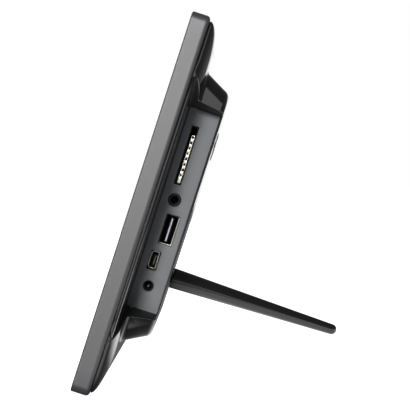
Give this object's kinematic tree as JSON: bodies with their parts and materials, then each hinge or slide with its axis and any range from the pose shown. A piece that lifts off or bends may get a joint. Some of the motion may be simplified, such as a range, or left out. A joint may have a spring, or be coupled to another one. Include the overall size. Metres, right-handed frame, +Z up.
{
  "type": "digital photo frame",
  "caption": "Flat digital photo frame with a humped rear cover, a side recess with card, USB, audio and power sockets, rear keys and a round screw-in stand leg.",
  "frame": {"origin": "centre of the bounding box at its base, which is the surface that the lower rear edge and the tip of the leg stand on", "axes": "+Z up, -Y the way the screen faces, +X to the right of a person who looks at the screen, where the sockets are; the frame leans back by about 26 degrees towards +Y"},
  "size_m": [0.206, 0.1204, 0.1508],
  "materials": {
    "satin_black": "moulded ABS with a fine satin grain",
    "gloss_black": "polished moulded ABS, high gloss",
    "port_grey": "moulded ABS with a fine matt grain",
    "display_glass": "dark polished glass of the display, switched off",
    "clear_plastic": "clear acrylic with printed dots",
    "white_film": "white diffusing film",
    "steel_sheet": "plated pressed steel",
    "nickel": "bright nickel plate",
    "black_plastic": "black moulded nylon",
    "board_green": "green solder mask on a glass-fibre board",
    "flex_film": "amber flexible circuit film",
    "brass": "turned brass",
    "rubber": "black moulded rubber or ferrite"
  },
  "bodies": {
    "frame": {"board_screw_1": "steel_sheet", "board_screw_2": "steel_sheet", "board_screw_3": "steel_sheet", "board_screw_4": "steel_sheet", "capacitor_1": "nickel", "capacitor_2": "nickel", "case_screw_1": "steel_sheet", "case_screw_2": "steel_sheet", "case_screw_3": "steel_sheet", "case_screw_4": "steel_sheet", "chassis_plate": "steel_sheet", "dc_jack": "black_plastic", "dc_jack_pin": "nickel", "diffuser_film": "white_film", "display_cable": "flex_film", "driver_board": "board_green", "flash_chip": "black_plastic", "front_bezel": "satin_black", "headphone_jack": "black_plastic", "key_board": "board_green", "lcd_glass": "display_glass", "lcd_rim": "steel_sheet", "lcd_tray": "steel_sheet", "led_bar": "white_film", "leg_insert": "brass", "light_guide": "clear_plastic", "main_board": "board_green", "memory_chip": "black_plastic", "mini_usb_shell": "nickel", "mini_usb_tongue": "black_plastic", "port_panel": "port_grey", "power_inductor": "rubber", "processor": "black_plastic", "rear_cover": "gloss_black", "sd_contact_bar": "nickel", "sd_shell": "nickel", "speaker_left": "black_plastic", "speaker_right": "black_plastic", "switch_down": "steel_sheet", "switch_left": "steel_sheet", "switch_menu": "steel_sheet", "switch_ok": "steel_sheet", "switch_power": "steel_sheet", "switch_right": "steel_sheet", "switch_up": "steel_sheet", "usb_shell": "nickel", "usb_tongue": "black_plastic"},
    "washer": {"leg_washer": "rubber"},
    "leg": {"stand_leg": "gloss_black"},
    "key_ok_cap": {"key_ok": "gloss_black"},
    "key_up_cap": {"key_up": "gloss_black"},
    "key_right_cap": {"key_right": "gloss_black"},
    "key_down_cap": {"key_down": "gloss_black"},
    "key_left_cap": {"key_left": "gloss_black"},
    "key_menu_cap": {"key_menu": "gloss_black"},
    "key_power_cap": {"key_power": "gloss_black"}
  },
  "joints": [
    {"name": "leg_travel", "type": "slide", "parent": "frame", "child": "washer", "axis": [0, 0.8969, -0.4423], "range_m": [0, 0.0064]},
    {"name": "leg_turn", "type": "hinge", "parent": "washer", "child": "leg", "pos_m": [0, -0.01504, 0.0384], "axis": [0, 0.8969, -0.4423], "range_deg": [0, 2881]},
    {"name": "key_ok_press", "type": "slide", "parent": "frame", "child": "key_ok_cap", "axis": [0, -0.8969, 0.4423], "range_m": [0, 0.00025], "stiffness_N_per_m": 600},
    {"name": "key_up_press", "type": "slide", "parent": "frame", "child": "key_up_cap", "axis": [0, -0.8969, 0.4423], "range_m": [0, 0.00025], "stiffness_N_per_m": 600},
    {"name": "key_right_press", "type": "slide", "parent": "frame", "child": "key_right_cap", "axis": [0, -0.8969, 0.4423], "range_m": [0, 0.00025], "stiffness_N_per_m": 600},
    {"name": "key_down_press", "type": "slide", "parent": "frame", "child": "key_down_cap", "axis": [0, -0.8969, 0.4423], "range_m": [0, 0.00025], "stiffness_N_per_m": 600},
    {"name": "key_left_press", "type": "slide", "parent": "frame", "child": "key_left_cap", "axis": [0, -0.8969, 0.4423], "range_m": [0, 0.00025], "stiffness_N_per_m": 600},
    {"name": "key_menu_press", "type": "slide", "parent": "frame", "child": "key_menu_cap", "axis": [0, -0.8969, 0.4423], "range_m": [0, 0.00025], "stiffness_N_per_m": 600},
    {"name": "key_power_press", "type": "slide", "parent": "frame", "child": "key_power_cap", "axis": [0, -0.8969, 0.4423], "range_m": [0, 0.00025], "stiffness_N_per_m": 600}
  ],
  "couplings": [
    {"joint": "leg_turn", "follows": "leg_travel", "rad_per_m": 7854}
  ]
}
